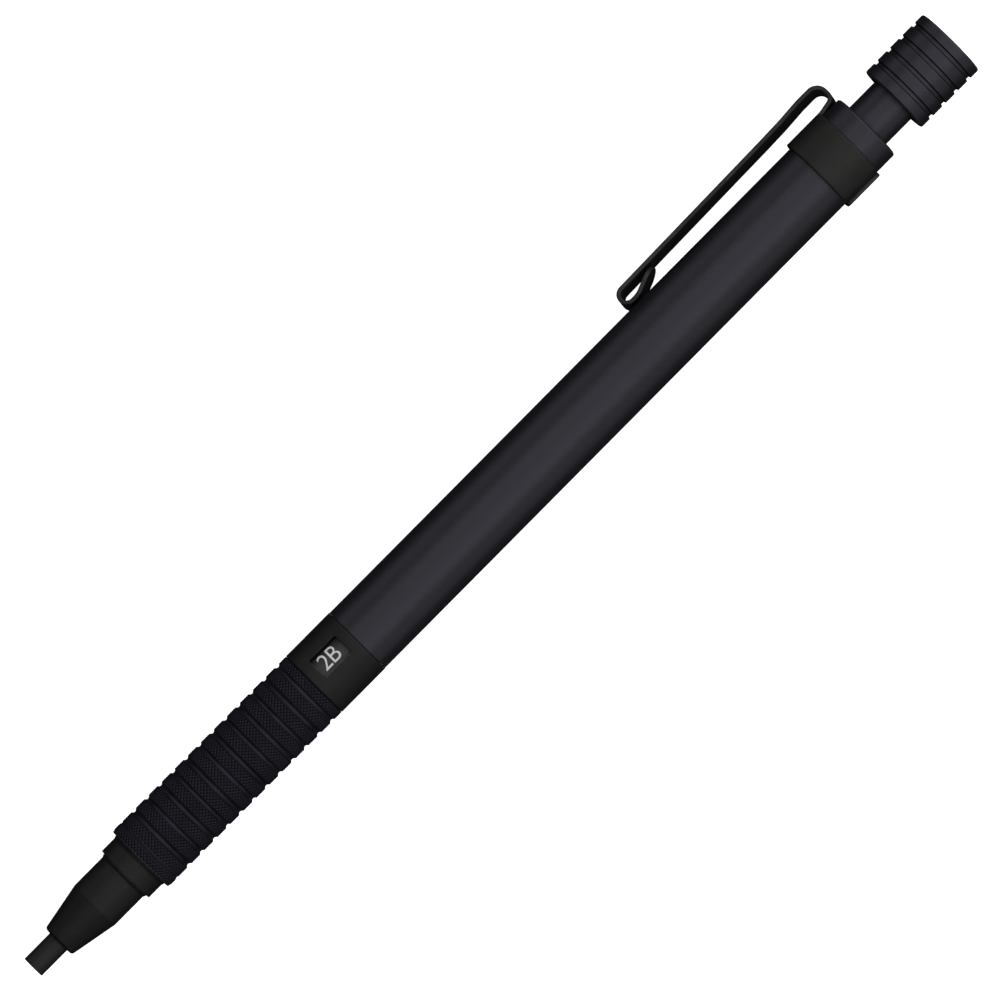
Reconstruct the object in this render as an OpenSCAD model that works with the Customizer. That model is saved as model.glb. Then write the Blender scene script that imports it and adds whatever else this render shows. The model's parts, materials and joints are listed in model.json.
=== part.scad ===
// Drafting pencil for 2 mm lead, lying on its clip band and the lower edge of its clip.
// X runs from the tip to the push knob and Z is up. The origin is on the surface that the
// pencil lies on, under the middle of its length and width.
// Stations named x_... are distances from the tip along the pencil's axis.

/* [Lead and nose] */
// Diameter of the lead
lead_d = 2; // [1.9:0.05:2]
// Length of the lead
lead_l = 88; // [60:1:110]
// Outer diameter of the lead sleeve
sleeve_d = 2.66; // [2.5:0.02:2.7]
// Length of the lead sleeve ahead of the nose
sleeve_l = 3.95; // [3.5:0.05:5]
// Diameter of the nose's front face
nose_front_d = 4; // [3.8:0.1:4.4]
// Diameter of the nose behind its taper
nose_d = 6.18; // [6.1:0.02:6.4]
// Length of the nose's taper
nose_taper_l = 5.6; // [5.4:0.1:6]
// Length of the straight part of the nose
nose_land_l = 4.67; // [4.6:0.01:5]

/* [Grip] */
// Diameter of the collar ahead of the grip
flange_d = 7.23; // [7.1:0.01:7.4]
// Length of the collar ahead of the grip
flange_l = 2.3; // [2.1:0.05:2.6]
// Diameter over the grip's rings
grip_d = 8.63; // [8.5:0.01:8.8]
// Length of the grip
grip_l = 26.84; // [26.8:0.04:28]
// Number of turned grooves in the grip
groove_count = 12; // [1:1:12]
// Spacing of the grip's grooves
groove_pitch = 2.012; // [1.5:0.001:2.02]
// Depth of the grip's grooves
groove_depth = 0.25; // [0.1:0.01:0.4]

/* [Grade collar] */
// Diameter of the turning collar
collar_d = 8.62; // [8.5:0.01:8.8]
// Length of the turning collar
collar_l = 6.67; // [6:0.01:8]
// Length of the window along the pencil
window_l = 3.95; // [3:0.05:4.2]
// Width of the window across the pencil
window_w = 2.7; // [2:0.1:3]
// Direction of the window, from +Y towards +Z
window_angle = 67; // [0:1:359]
// Number of clicks in a turn of the collar
click_count = 8; // [4:1:10]

/* [Barrel] */
// Diameter of the barrel
barrel_d = 8.53; // [8.4:0.01:8.58]
// Length of the barrel
barrel_l = 78.9; // [76:0.1:90]
// Inner diameter of the barrel
barrel_bore_d = 6.2; // [6:0.1:6.4]

/* [Clip] */
// Thickness of the clip's sheet
clip_sheet = 0.5; // [0.4:0.05:0.6]
// Width of the clip's arm
clip_w = 3.3; // [2.4:0.1:3.6]
// Length of the band along the barrel
band_l = 4.94; // [4:0.01:6]
// Distance from the band to the barrel's rear end
band_inset = 2.7; // [2.4:0.1:4]
// Width of the band's gap, in degrees
band_gap = 34.6; // [20:0.1:60]
// Height of the arm over the barrel's axis at the rear bend
clip_rear_h = 7.35; // [7.2:0.01:7.6]
// Height of the arm over the barrel's axis at the front loop
clip_front_h = 6.66; // [6.5:0.01:6.8]
// Length of the arm between the loop and the bend
clip_arm_l = 29.7; // [24:0.1:36]

/* [Push knob] */
// Diameter of the push neck
neck_d = 5.68; // [5.6:0.01:5.72]
// Length of neck that shows between the barrel and the knob
neck_l = 4.1; // [3.5:0.1:6]
// Diameter of the knob
knob_d = 8.6; // [8:0.01:9]
// Length of the knob
knob_l = 8.9; // [8.9:0.1:11]
// Number of turned grooves in the knob
knob_groove_count = 4; // [1:1:4]
// Spacing of the knob's grooves
knob_groove_pitch = 1.93; // [1.5:0.01:1.95]

/* [Push mechanism] */
// How far the knob pushes in
push_travel = 3; // [2:0.1:3]
// How far the chuck ring follows the push
ring_travel = 1; // [0.5:0.1:1]
// Wire diameter of the return spring
spring_wire_d = 0.35; // [0.3:0.01:0.4]
// Number of turns in the return spring
spring_turns = 8; // [6:1:9]

/* [Hidden] */
$fn = 96;

// Clearances, on the radius
still_gap = 0.02;   // between pieces that stay together
run_gap = 0.03;     // between a piece and the bore that it slides or turns in
seam = 0.02;        // between the ends of pieces that meet on the outside
end_gap = 0.05;     // between the ends of pieces inside
lead_gap = 0.02;    // between the lead and what grips it
step = 0.01;        // between two surfaces of one piece that would otherwise only touch
over = 1;           // how far a cutter runs past what it cuts

// Stations along the axis, from the tip
x_nose = sleeve_l;
x_land = x_nose + nose_taper_l;
x_seam = x_land + nose_land_l;
x_flange = x_seam + 2 * seam;
x_grip = x_flange + flange_l + seam;
x_collar = x_grip + grip_l + seam;
x_barrel = x_collar + collar_l + seam;
x_tail = x_barrel + barrel_l;
x_knob = x_tail + neck_l;
overall_l = x_knob + knob_l;

// Stations inside the nose, where the sleeve's shank, the retainer, the chuck and its ring stand
sleeve_bore_r = lead_d / 2 + 0.05;
shank_rise = 0.3;
shank_r = sleeve_d / 2 + shank_rise;
nose_lip_l = 0.1;
shank_l = 3.45;
x_shank = x_nose + nose_lip_l;
x_shank_end = x_shank + shank_l;
x_retainer = x_shank_end + end_gap;
retainer_r = 1.9;
retainer_l = 1.8;
jaw_clear = 0.2;    // that a full push leaves between the jaws and the retainer
x_chuck = x_retainer + retainer_l + push_travel + jaw_clear;
head_l = 1.5;
x_ring = x_chuck + head_l;
ring_l = 1.9;
x_seat = x_ring + ring_l + end_gap;

// Screw joint between the nose and the front tube
thread_r = 2.7;
thread_l = 4;
x_thread_end = x_seam + thread_l;

// Mechanism sleeve and return spring
ring_r = 2.15;
ring_bore_r = 1.63;
ring_ease = 0.05;   // of the bore that the ring slides in
ring_overrun = 0.15;
stem_r = 1.5;
seat_step = x_thread_end + end_gap;
seat_floor_l = 0.95;
seat_pocket_l = 9.2;
pocket_r = 2.3;
x_spring = seat_step + seat_floor_l;
x_seat_end = x_spring + seat_pocket_l;
spring_l = 8.2;
spring_r = 1.9;
x_connector = x_spring + spring_l;

// Lead tube and push neck
tube_r = 2.33;
tube_wall = 0.38;
connector_nose_l = 4.1;
connector_flange_l = 1;
connector_plug_l = 3.5;
stem_grip_l = 2.5;
chuck_end = x_connector + stem_grip_l;
x_tube = x_connector + connector_nose_l + connector_flange_l;
tube_set_back = 0.6;
x_tube_end = x_knob - tube_set_back;
neck_r = neck_d / 2;
neck_bore_r = tube_r + still_gap;
neck_inside_l = 17;
neck_in_knob_l = 4.4;
x_neck = x_tail - neck_inside_l;
x_neck_end = x_knob + neck_in_knob_l;

// Front tube, inside the grip and the collar
core_r = 3.45;
core_bore_r = 2.5;
core_tail_r = 3.4;
core_tail_l = 5.9;
drum_r = 3.7;
drum_clear = 0.05;
collar_bore_r = drum_r + drum_clear;
detent_w = 0.7;
detent_set_back = 0.2;
x_detent = x_collar + collar_l - detent_w - detent_set_back;

// Barrel's counterbores and bush
barrel_r = barrel_d / 2;
tail_rise = 0.025;
tail_r = barrel_r + tail_rise;
bush_r = 3.42;
bush_l = 2.8;

// Knob's bore and what fills it
liner_r = 3.4;
liner_bore_r = neck_r + run_gap;
knob_wall = 1;

// Clip: the band, and the rear bend and the front loop in the plane through the barrel's axis.
// Heights are over the axis, and each bend's radius is that of the sheet's middle.
band_clear = 0.03;
band_r = barrel_r + band_clear;
band_outer_r = band_r + clip_sheet;
x_band_end = x_tail - band_inset;
x_band = x_band_end - band_l;
leg_l = 0.97;
x_bend = x_band_end + leg_l;
leg_h = band_r + step;
bend_r = (clip_rear_h - leg_h - clip_sheet) / 2;
bend_h = leg_h + clip_sheet / 2 + bend_r;
flex_gap = 0.17;    // between the leg's end and the arm's, so that the arm can turn in the bend
loop_clear = 0.06;
loop_low_h = barrel_r + loop_clear;
loop_r = (clip_front_h - loop_low_h - clip_sheet) / 2;
loop_h = loop_low_h + clip_sheet / 2 + loop_r;
x_loop = x_bend - clip_arm_l;
join = 0.05;        // how far a straight part of the clip runs into a bend

// Stance: the pencil lies on the band and on the clip's lower edge
axis_z = band_outer_r;
clip_dip = asin(axis_z / norm([clip_rear_h, clip_w / 2])) - atan2(clip_w / 2, clip_rear_h);
clip_side = clip_rear_h * cos(clip_dip) + clip_w / 2 * sin(clip_dip);
axis_y = (band_outer_r - clip_side) / 2;

// Puts a shape drawn from the tip along X into the pencil's place
module placed() {
    translate([-overall_l / 2, axis_y, axis_z]) children();
}

// Turns a shape that stands on the axis's top side to a direction from +Y towards +Z
module facing(direction) {
    rotate([direction - 90, 0, 0]) children();
}

// A solid of revolution about the axis, from points [station, radius]
module turned(points) {
    rotate([0, 90, 0]) rotate_extrude() polygon([for (p = points) [p[1], p[0]]]);
}

// A straight tube about the axis
module tube(x0, x1, outer_r, inner_r) {
    turned([[x0, inner_r], [x1, inner_r], [x1, outer_r], [x0, outer_r]]);
}

// Points of a rounded outer edge: the front one climbs to radius r, the rear one leaves it
function front_edge(x, r, e, steps = 5) =
    [for (i = [0:steps]) let (a = 90 * i / steps) [x + e * (1 - sin(a)), r - e * (1 - cos(a))]];
function front_round(x, r, e) = let (p = front_edge(x, r, e)) [for (i = [len(p) - 1:-1:0]) p[i]];
function rear_round(x, r, e) = [for (p = front_edge(0, r, e)) [x - p[0], p[1]]];

// Points of a turned groove with sloping walls
function groove(x, r, depth, top_w, floor_w) = [
    [x - top_w / 2, r],
    [x - floor_w / 2, r - depth],
    [x + floor_w / 2, r - depth],
    [x + top_w / 2, r]
];

// Points of an arc in the plane of the clip, by its centre, radius and two angles
function arc(x, h, r, a0, a1, steps) =
    [for (i = [0:steps]) let (a = a0 + (a1 - a0) * i / steps) [x + r * cos(a), h + r * sin(a)]];

// Direction of a path at one of its points, and the outline of a strip of sheet along it
function unit(v) = v / norm(v);
function heading(path, i) =
    unit(path[min(i + 1, len(path) - 1)] - path[max(i - 1, 0)]);
function side(path, reach) =
    [for (i = [0:len(path) - 1]) let (d = heading(path, i)) path[i] + reach * [-d[1], d[0]]];
function reversed(list) = [for (i = [len(list) - 1:-1:0]) list[i]];
function strip(path, sheet) = concat(side(path, sheet / 2), reversed(side(path, -sheet / 2)));

// Lead sleeve: a fixed pipe that guides the lead, on a thicker shank behind the nose's lip
module lead_sleeve() {
    mouth = 0.05;
    edge = 0.08;
    color("#26262a") placed() turned(concat(
        [[mouth, sleeve_bore_r]],
        front_round(0, sleeve_d / 2, edge),
        [
            [x_shank, sleeve_d / 2],
            [x_shank, shank_r],
            [x_shank_end, shank_r],
            [x_shank_end, sleeve_bore_r]
        ]
    ));
}

// Nose cone: taper, straight part, and the threaded spigot that screws into the front tube
module nose_cone() {
    pocket_front_r = ring_r - ring_ease;
    pocket_rear_r = ring_r + ring_ease;
    ring_stop = x_ring - ring_travel - ring_overrun;
    front_r = nose_front_d / 2 + 0.03;
    edge = 0.2;
    flare = 0.14;
    flare_l = 0.35;
    lip_l = 0.1;
    color("#242426") placed() turned(concat(
        [
            [x_shank - still_gap, shank_r + still_gap],
            [x_shank - still_gap, sleeve_d / 2 + still_gap],
            [x_nose, sleeve_d / 2 + still_gap]
        ],
        front_round(x_nose, front_r, edge),
        [
            [x_land, nose_d / 2],
            [x_seam - flare_l, nose_d / 2],
            [x_seam - lip_l, nose_d / 2 + flare / 3],
            [x_seam, nose_d / 2 + flare],
            [x_seam, thread_r],
            [x_thread_end, thread_r],
            [x_thread_end, pocket_rear_r],
            [ring_stop, pocket_rear_r],
            [ring_stop, pocket_front_r],
            [x_retainer + retainer_l, pocket_front_r],
            [x_retainer + retainer_l, retainer_r + still_gap],
            [x_retainer - still_gap, retainer_r + still_gap],
            [x_retainer - still_gap, shank_r + still_gap]
        ]
    ));
}

// Lead retainer: a rubber ring with two lips that hold the lead while the chuck is open
module lead_retainer() {
    lip_r = lead_d / 2 + lead_gap;
    lip_h = 0.25;
    lip_l = 0.5;
    x_end = x_retainer + retainer_l;
    color("#303030") placed() turned([
        [x_retainer, lip_r],
        [x_retainer + lip_l, lip_r],
        [x_retainer + lip_l, lip_r + lip_h],
        [x_end - lip_l, lip_r + lip_h],
        [x_end - lip_l, lip_r],
        [x_end, lip_r],
        [x_end, retainer_r],
        [x_retainer, retainer_r]
    ]);
}

// Front tube: collar, core under the grip and the collar, and the screwed tail in the barrel
module front_tube() {
    x_back = x_flange + flange_l;
    x_pocket_end = x_seat_end + end_gap;
    edge = 0.1;
    flare = 0.1;
    flare_l = 0.3;
    lip_l = 0.1;
    color("#242426") placed() turned(concat(
        [[x_flange, thread_r + run_gap]],
        front_round(x_flange, flange_d / 2, edge),
        [
            [x_back - flare_l, flange_d / 2],
            [x_back - lip_l, flange_d / 2 + flare / 3],
            [x_back, flange_d / 2 + flare],
            [x_back, core_r],
            [x_barrel, core_r],
            [x_barrel, core_tail_r],
            [x_barrel + core_tail_l, core_tail_r],
            [x_barrel + core_tail_l, core_bore_r],
            [x_pocket_end, core_bore_r],
            [x_pocket_end, thread_r + run_gap]
        ]
    ));
}

// Grip sleeve: a plain front band, a fine line, then rings parted by grooves
module grip_sleeve() {
    front_band_l = 1.35;
    band_end = x_grip + front_band_l;
    band_rise = 0.025;
    band_edge = 0.25;
    before_grooves = 3.27;
    first_groove = x_grip + before_grooves;
    groove_top_w = 0.76;
    groove_floor_w = 0.5;
    line_w = 0.24;
    line_depth = 0.05;
    edge = 0.08;
    ring = grip_d / 2;
    x_end = x_grip + grip_l;
    color("#1b1a21") placed() turned(concat(
        [[x_grip, core_r + still_gap]],
        front_round(x_grip, ring + band_rise, band_edge),
        [
            [band_end, ring + band_rise],
            [band_end + line_depth, ring - line_depth],
            [band_end + line_w - line_depth, ring - line_depth],
            [band_end + line_w, ring]
        ],
        [
            for (i = [0:groove_count - 1])
                each groove(first_groove + i * groove_pitch, ring, groove_depth,
                    groove_top_w, groove_floor_w)
        ],
        [[x_end - edge, ring], [x_end, ring - edge], [x_end, core_r + still_gap]]
    ));
}

// Grade drum: a thin printed tube behind the window
module grade_drum() {
    color("#3a3a3c") placed()
        tube(x_collar + end_gap, x_detent - 3 * end_gap, drum_r, core_r + still_gap);
}

// Detent ring: an open spring ring whose bump clicks into the collar's notches
module detent_ring() {
    bump_r = 0.18;
    bump_rise = 0.03;
    gap_w = 1.2;
    gap_low = 3;
    gap_tall = 1.5;
    cut_l = detent_w + 2 * over;
    color("#b8b8bc") placed() difference() {
        union() {
            tube(x_detent, x_detent + detent_w, drum_r - drum_clear, core_r + still_gap);
            facing(window_angle + 180)
                translate([x_detent, 0, drum_r - bump_r + bump_rise])
                    rotate([0, 90, 0]) cylinder(r = bump_r, h = detent_w, $fn = 24);
        }
        translate([x_detent - over, 0, 0])
            rotate([0, 90, 0]) cylinder(r = core_r + still_gap, h = cut_l);
        facing(window_angle)
            translate([x_detent - over, -gap_w / 2, gap_low]) cube([cut_l, gap_w, gap_tall]);
    }
}

// A block with rounded corners, standing on the axis's top side, that cuts the window
module window_cutter() {
    corner = 0.25;
    low = 3;
    tall = 2;
    inner_l = window_l - 2 * corner;
    inner_w = window_w - 2 * corner;
    translate([0, 0, low]) {
        translate([-inner_l / 2, -window_w / 2, 0]) cube([inner_l, window_w, tall]);
        translate([-window_l / 2, -inner_w / 2, 0]) cube([window_l, inner_w, tall]);
        for (sx = [-1, 1])
            for (sy = [-1, 1])
                translate([sx * inner_l / 2, sy * inner_w / 2, 0])
                    cylinder(r = corner, h = tall, $fn = 24);
    }
}

// Window collar: turns on the core, with a window at one side and notches inside its rear end
module window_collar() {
    x_end = x_collar + collar_l;
    edge = 0.06;
    notch_r = 0.25;
    notch_l = 1;
    notch_set_in = 0.1;
    window_set_back = 3.36;
    window_mid = x_collar + window_set_back;
    color("#262627") placed() difference() {
        turned([
            [x_collar, collar_bore_r],
            [x_collar, collar_d / 2 - edge],
            [x_collar + edge, collar_d / 2],
            [x_end - edge, collar_d / 2],
            [x_end, collar_d / 2 - edge],
            [x_end, collar_bore_r]
        ]);
        facing(window_angle) translate([window_mid, 0, 0]) window_cutter();
        for (i = [0:click_count - 1])
            facing(window_angle + 180 + i * 360 / click_count)
                translate([x_end - notch_l, 0, collar_bore_r - notch_set_in])
                    rotate([0, 90, 0]) cylinder(r = notch_r, h = 2 * notch_l, $fn = 24);
    }
}

// Barrel: a plain tube, screwed on the front tube, slightly fuller behind the clip band
module barrel() {
    edge = 0.05;
    tail_edge = 0.28;
    screw_clear = 0.5;
    x_front_bore = x_barrel + core_tail_l + screw_clear;
    x_bush_seat = x_tail - bush_l - 2 * end_gap;
    color("#38383d") placed() turned(concat(
        [
            [x_barrel, core_tail_r + run_gap],
            [x_barrel, barrel_r - edge],
            [x_barrel + edge, barrel_r],
            [x_band_end, barrel_r],
            [x_band_end + edge, tail_r]
        ],
        rear_round(x_tail, tail_r, tail_edge),
        [
            [x_tail, bush_r + still_gap],
            [x_bush_seat, bush_r + still_gap],
            [x_bush_seat, barrel_bore_d / 2],
            [x_front_bore, barrel_bore_d / 2],
            [x_front_bore, core_tail_r + run_gap]
        ]
    ));
}

// Tail bush: guides the neck in the barrel's rear end
module tail_bush() {
    set_back = 0.12;
    color("#2c2c30") placed()
        tube(x_tail - bush_l - end_gap, x_tail - set_back, bush_r, neck_r + run_gap);
}

// Clip band: an open band round the barrel, with rounded corners at its gap, and the flat
// leg that runs back from it into the bend
module clip_band() {
    gap_direction = -clip_dip + 180;
    corner = 0.6;
    root_l = 0.4;
    half = band_gap / 2;
    color("#2b2b2c") placed() union() {
        difference() {
            tube(x_band, x_band_end, band_outer_r, band_r);
            facing(gap_direction) band_gap_cutter(half, corner);
        }
        facing(-clip_dip) {
            translate([x_band_end - root_l, -clip_w / 2, leg_h])
                cube([leg_l + root_l, clip_w, clip_sheet]);
            bent_sheet(x_bend, bend_h, bend_r)
                translate([-join, -2 * bend_r]) square([2 * bend_r, 2 * bend_r - flex_gap]);
        }
    }
}

// The wedge that opens the band, less the metal that rounds the gap's four corners
module band_gap_cutter(half, corner) {
    reach = 7;
    corner_turn = corner / band_outer_r * 180 / PI;
    corner_low = band_r - 0.5;
    corner_tall = 2;
    intersection() {
        translate([x_band - over, 0, 0])
            rotate([90, 0, 90]) linear_extrude(band_l + 2 * over)
                polygon([[0, 0], [reach * sin(half), reach * cos(half)],
                    [0, reach * 1.3], [-reach * sin(half), reach * cos(half)]]);
        translate([x_band - over, -reach, 0]) cube([band_l + 2 * over, 2 * reach, reach]);
    }
    for (turn = [-half - corner_turn / 2, half + corner_turn / 2])
        for (end = [0, 1])
            rotate([-turn, 0, 0])
                translate([x_band - step + end * (band_l + 2 * step), 0, corner_low])
                    rotate([0, 0, 45])
                        translate([-corner / 2, -corner / 2, 0])
                            cube([corner, corner, corner_tall]);
}

// A sheet as wide as the clip, from its outline in the plane through the axis
module sheet_of() {
    translate([0, clip_w / 2, 0]) rotate([90, 0, 0]) linear_extrude(clip_w) children();
}

// Sheet bent round a centre at a station and a height, kept where it lies over the child shape.
// It is a little thinner than the flat parts, whose ends stand into it.
module bent_sheet(x, h, r) {
    bend_sheet = clip_sheet - step;
    sheet_of() translate([x, h]) intersection() {
        difference() {
            circle(r = r + bend_sheet / 2);
            circle(r = r - bend_sheet / 2);
        }
        children();
    }
}

// Clip arm: half of the rear bend, the arm, the front loop, and the tongue that comes back
// under the arm
module clip_arm() {
    rear_h = clip_rear_h - clip_sheet / 2;
    front_h = clip_front_h - clip_sheet / 2;
    low_h = loop_low_h + clip_sheet / 2;
    arm = [
        [x_bend + join, rear_h],
        [x_bend - 1.8, rear_h - 0.01],
        [x_bend - 4.5, rear_h - 0.2],
        [x_bend - 7.5, rear_h - 0.29],
        [x_loop - join, front_h]
    ];
    tongue_rise = 22.5;
    tongue_l = 3.1;
    lift_r = 2.75;
    x_lift = x_loop + 0.3;
    x_tongue = x_lift + lift_r * sin(tongue_rise);
    tongue_h = low_h + lift_r * (1 - cos(tongue_rise));
    tongue = concat(
        [[x_loop - join, low_h]],
        arc(x_lift, low_h + lift_r, lift_r, 270, 270 + tongue_rise, 6),
        [[x_tongue + tongue_l * cos(tongue_rise), tongue_h + tongue_l * sin(tongue_rise)]]
    );
    color("#2b2b2c") placed() facing(-clip_dip) union() {
        bent_sheet(x_bend, bend_h, bend_r) square(2 * bend_r);
        sheet_of() polygon(strip(arm, clip_sheet));
        bent_sheet(x_loop, loop_h, loop_r)
            translate([-2 * loop_r, -2 * loop_r]) square([2 * loop_r, 4 * loop_r]);
        sheet_of() polygon(strip(tongue, clip_sheet));
    }
}

// Spring seat: a sleeve that guides the chuck's stem and carries the return spring
module spring_seat() {
    color("#b08d45") placed() turned([
        [x_seat, stem_r + run_gap],
        [x_seat, ring_r],
        [seat_step, ring_r],
        [seat_step, thread_r],
        [x_seat_end, thread_r],
        [x_seat_end, pocket_r],
        [x_spring, pocket_r],
        [x_spring, stem_r + run_gap]
    ]);
}

// Points and faces of a tube of round section swept along a helix about the Z axis
module helix_wire(r, wire_r, turns, height, steps, sides) {
    rows = turns * steps;
    points = [
        for (i = [0:rows])
            for (k = [0:sides - 1])
                let (
                    a = 360 * i / steps,
                    b = 360 * k / sides,
                    reach = r + wire_r * cos(b)
                )
                [reach * cos(a), reach * sin(a), height * i / rows + wire_r * sin(b)]
    ];
    walls = [
        for (i = [0:rows - 1])
            for (k = [0:sides - 1])
                let (next = (k + 1) % sides, at = i * sides)
                [at + k, at + next, at + sides + next, at + sides + k]
    ];
    ends = [
        [for (k = [sides - 1:-1:0]) k],
        [for (k = [0:sides - 1]) rows * sides + k]
    ];
    polyhedron(points, concat(walls, ends), convexity = 10);
}

// Return spring: pushes the chuck back into its ring
module return_spring() {
    wire_r = spring_wire_d / 2;
    height = spring_l - 2 * (wire_r + still_gap);
    color("#c9c9cc") placed()
        translate([x_spring + wire_r + still_gap, 0, 0]) rotate([0, 90, 0])
            helix_wire(spring_r, wire_r, spring_turns, height, 18, 6);
}

// Chuck: a collet of three jaws on a long stem
module chuck() {
    jaw_bore_r = lead_d / 2 + lead_gap;
    stem_bore_r = jaw_bore_r + 0.13;
    jaw_l = 4.4;
    mouth = 0.3;
    mouth_l = 0.25;
    cone_l = 0.55;
    neck_gap = 0.1;
    jaw_neck_r = ring_bore_r - run_gap;
    head_r = 1.95;
    slit_w = 0.3;
    slit_l = 9;
    slit_low = 0.2;
    slit_tall = 3;
    color("#b89a55") placed() difference() {
        turned([
            [x_chuck, jaw_bore_r],
            [x_chuck, head_r - mouth],
            [x_chuck + mouth_l, head_r],
            [x_chuck + head_l - neck_gap - cone_l, head_r],
            [x_chuck + head_l - neck_gap, jaw_neck_r],
            [x_ring + ring_l, jaw_neck_r],
            [x_ring + ring_l, stem_r],
            [chuck_end, stem_r],
            [chuck_end, stem_bore_r],
            [x_chuck + jaw_l, stem_bore_r],
            [x_chuck + jaw_l, jaw_bore_r]
        ]);
        for (i = [0:2])
            rotate([i * 120, 0, 0])
                translate([x_chuck - over, -slit_w / 2, slit_low])
                    cube([slit_l + over, slit_w, slit_tall]);
    }
}

// Chuck ring: closes the jaws, and slides a short way with them
module chuck_ring() {
    mouth = 0.25;
    color("#c9a85c") placed() turned([
        [x_ring + mouth, ring_bore_r],
        [x_ring, ring_bore_r + mouth],
        [x_ring, ring_r],
        [x_ring + ring_l, ring_r],
        [x_ring + ring_l, ring_bore_r]
    ]);
}

// Tube connector: holds the chuck's stem in front and the lead tube behind
module tube_connector() {
    x_flange_front = x_connector + connector_nose_l;
    x_plug_end = x_tube + connector_plug_l;
    funnel_l = 1.5;
    funnel_wall = 0.3;
    nose_r = pocket_r - 0.1;
    lead_bore = lead_d / 2 + 0.12;
    plug_r = tube_r - tube_wall - still_gap;
    color("#8c8c90") placed() turned([
        [x_connector, stem_r + still_gap],
        [x_connector, nose_r],
        [x_flange_front, nose_r],
        [x_flange_front, tube_r],
        [x_tube - still_gap, tube_r],
        [x_tube - still_gap, plug_r],
        [x_plug_end, plug_r],
        [x_plug_end, plug_r - funnel_wall],
        [x_plug_end - funnel_l, lead_bore],
        [chuck_end + end_gap, lead_bore],
        [chuck_end + end_gap, stem_r + still_gap]
    ]);
}

// Lead tube: the magazine between the chuck and the neck
module lead_tube() {
    color("#9a9a9e") placed() tube(x_tube, x_tube_end, tube_r, tube_r - tube_wall);
}

// Lead: a plain rod, drawn back just inside the sleeve
module lead() {
    tip_back = 1;
    edge = 0.1;
    color("#1c1c1e") placed() turned([
        [tip_back, 0],
        [tip_back, lead_d / 2 - edge],
        [tip_back + edge, lead_d / 2],
        [tip_back + lead_l, lead_d / 2],
        [tip_back + lead_l, 0]
    ]);
}

// Push neck: the thin tube between the barrel and the knob
module push_neck() {
    edge = 0.15;
    color("#2c2c32") placed() turned([
        [x_neck, neck_bore_r],
        [x_neck, neck_r - edge],
        [x_neck + edge, neck_r],
        [x_neck_end - edge, neck_r],
        [x_neck_end, neck_r - edge],
        [x_neck_end, neck_bore_r]
    ]);
}

// Eraser ferrule: a thin cup that plugs the neck's rear end
module eraser_ferrule() {
    wall = 0.28;
    floor_t = 0.4;
    set_back = 0.1;
    x0 = x_knob + set_back;
    x_lip = x_neck_end + end_gap;
    lip_l = 0.4;
    lip_set_in = 0.1;
    lip_r = neck_r - lip_set_in;
    color("#a5a5aa") placed() turned([
        [x0, 0],
        [x0, tube_r],
        [x_lip, tube_r],
        [x_lip, lip_r],
        [x_lip + lip_l, lip_r],
        [x_lip + lip_l, tube_r - wall],
        [x0 + floor_t, tube_r - wall],
        [x0 + floor_t, 0]
    ]);
}

// Eraser: a short round plug under the knob
module eraser() {
    eraser_r = 2.03;
    eraser_l = 6.7;
    edge = 0.3;
    set_back = 0.55;
    x0 = x_knob + set_back;
    color("#e8e6e0") placed() turned(concat(
        [[x0, 0], [x0, eraser_r]],
        rear_round(x0 + eraser_l, eraser_r, edge),
        [[x0 + eraser_l, 0]]
    ));
}

// Knob liner: a friction sleeve that holds the knob on the neck
module knob_liner() {
    set_back = 0.3;
    color("#202023") placed()
        tube(x_knob + set_back, overall_l - knob_wall - end_gap, liner_r, liner_bore_r);
}

// Knob: a closed cap with turned grooves
module knob() {
    knob_r = knob_d / 2;
    groove_h = 0.26;
    groove_top_w = 0.54;
    groove_floor_w = 0.46;
    edge = 0.25;
    before_grooves = 1.6;
    first_groove = x_knob + before_grooves;
    color("#2c2c32") placed() turned(concat(
        [[x_knob, liner_r + still_gap]],
        front_round(x_knob, knob_r, edge),
        [
            for (i = [0:knob_groove_count - 1])
                each groove(first_groove + i * knob_groove_pitch, knob_r,
                    groove_h, groove_top_w, groove_floor_w)
        ],
        rear_round(overall_l, knob_r, edge),
        [
            [overall_l, 0],
            [overall_l - knob_wall, 0],
            [overall_l - knob_wall, liner_r + still_gap]
        ]
    ));
}

lead_sleeve();
nose_cone();
lead_retainer();
front_tube();
grip_sleeve();
grade_drum();
detent_ring();
window_collar();
barrel();
tail_bush();
clip_band();
clip_arm();
spring_seat();
return_spring();
chuck();
chuck_ring();
tube_connector();
lead_tube();
lead();
push_neck();
eraser_ferrule();
eraser();
knob_liner();
knob();
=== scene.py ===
"""Looks of the drafting pencil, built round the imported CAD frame.

Lengths in this script are millimetres until they become vertices, and X runs along the pencil.
A "station" is a distance from the tip along the axis, and a "direction" is an angle round the
axis, from +Y towards +Z, in degrees.
"""

import json
import math

import bmesh
import bpy
from mathutils import Matrix, Vector


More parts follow.
